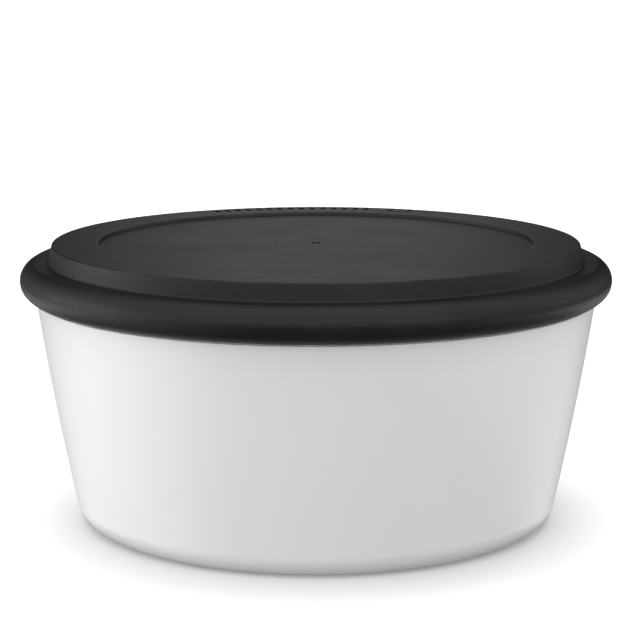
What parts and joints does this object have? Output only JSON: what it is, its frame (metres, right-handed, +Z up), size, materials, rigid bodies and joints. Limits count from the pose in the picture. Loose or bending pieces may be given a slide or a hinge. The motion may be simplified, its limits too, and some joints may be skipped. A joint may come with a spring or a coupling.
{
  "type": "go stone bowl",
  "caption": "Round plastic bowl with a flaring wall and a push-on lid with a round bead, for keeping go stones.",
  "frame": {"origin": "centre of the bowl's footprint, on the surface that it stands on", "axes": "+Z up through the lid, along the bowl's round axis; +Y towards the row of marks on the lid"},
  "size_m": [0.15, 0.15, 0.071],
  "materials": {
    "bowl_plastic": "white, satin, moulded",
    "lid_plastic": "black, soft satin, moulded"
  },
  "bodies": {
    "bowl": {"bowl": "bowl_plastic"},
    "lid": {"lid": "lid_plastic"}
  },
  "joints": [
    {"name": "lid_lift", "type": "slide", "parent": "bowl", "child": "lid", "axis": [0, 0, 1], "range_m": [0, 0.12]}
  ]
}
